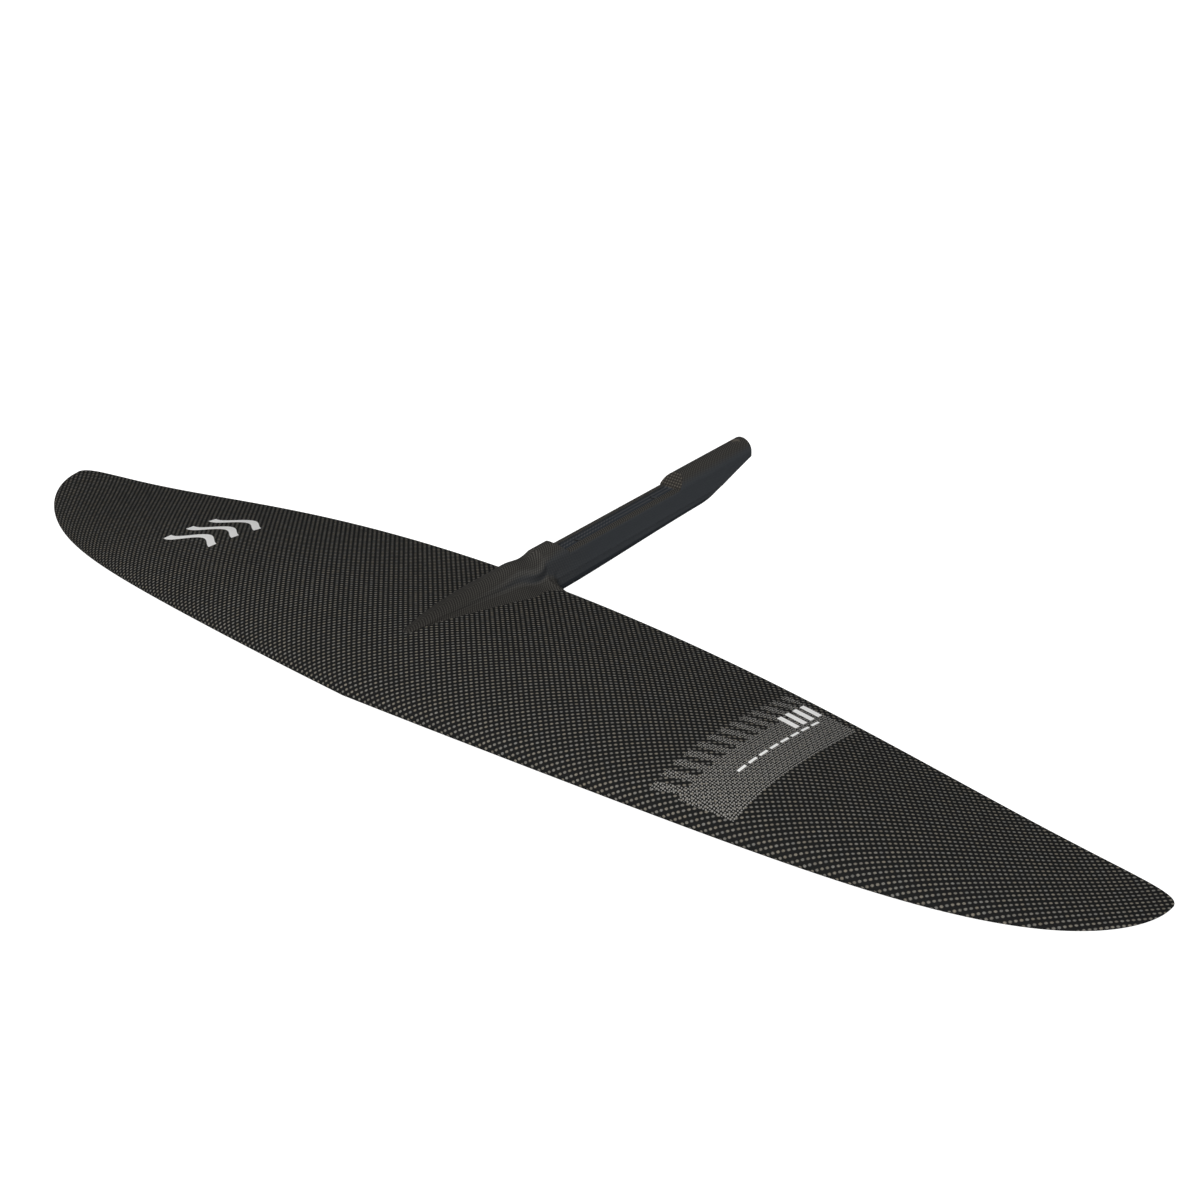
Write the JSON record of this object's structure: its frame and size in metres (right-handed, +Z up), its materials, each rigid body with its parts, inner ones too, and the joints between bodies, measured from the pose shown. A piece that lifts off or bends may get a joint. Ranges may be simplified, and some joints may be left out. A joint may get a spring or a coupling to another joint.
{
  "type": "hydrofoil front wing with fuselage",
  "caption": "Moulded carbon hydrofoil front wing with drooping tips, and a slim fuselage with a recessed mast seat and a stabilizer seat under its tail.",
  "frame": {"origin": "centre of the two mast bolt holes, on the floor of the mast groove", "axes": "+X along the span to the right, +Y aft towards the tail, +Z up towards the mast"},
  "size_m": [1.1154, 0.4919, 0.0798],
  "materials": {
    "coarse_carbon": "clear-coated plain weave",
    "fine_carbon": "clear-coated fine weave",
    "laminate": "solid carbon laminate",
    "foam": "machined foam",
    "steel": "turned stainless steel",
    "silver_print": "fine silver mesh print",
    "white_print": "printed"
  },
  "bodies": {
    "root": {"wing_upper_skin": "coarse_carbon", "wing_lower_skin": "coarse_carbon", "leading_edge_filler": "laminate", "front_core_right": "foam", "front_core_left": "foam", "root_block_front": "laminate", "spar_cap_upper": "laminate", "spar_cap_lower": "laminate", "spar_core": "foam", "rear_core_right": "foam", "rear_core_left": "foam", "root_block_rear": "laminate", "trailing_edge_strip": "laminate", "tip_block_right": "laminate", "tip_block_left": "laminate", "fuselage_upper_skin": "fine_carbon", "fuselage_lower_skin": "fine_carbon", "upper_root_filler": "laminate", "lower_root_filler": "laminate", "mast_block": "laminate", "tail_block": "laminate", "mast_bolt_sleeves": "steel", "stabilizer_inserts": "steel", "mesh_band": "silver_print", "dash_line": "white_print", "size_bars": "white_print", "wave_emblem": "white_print"}
  },
  "joints": []
}
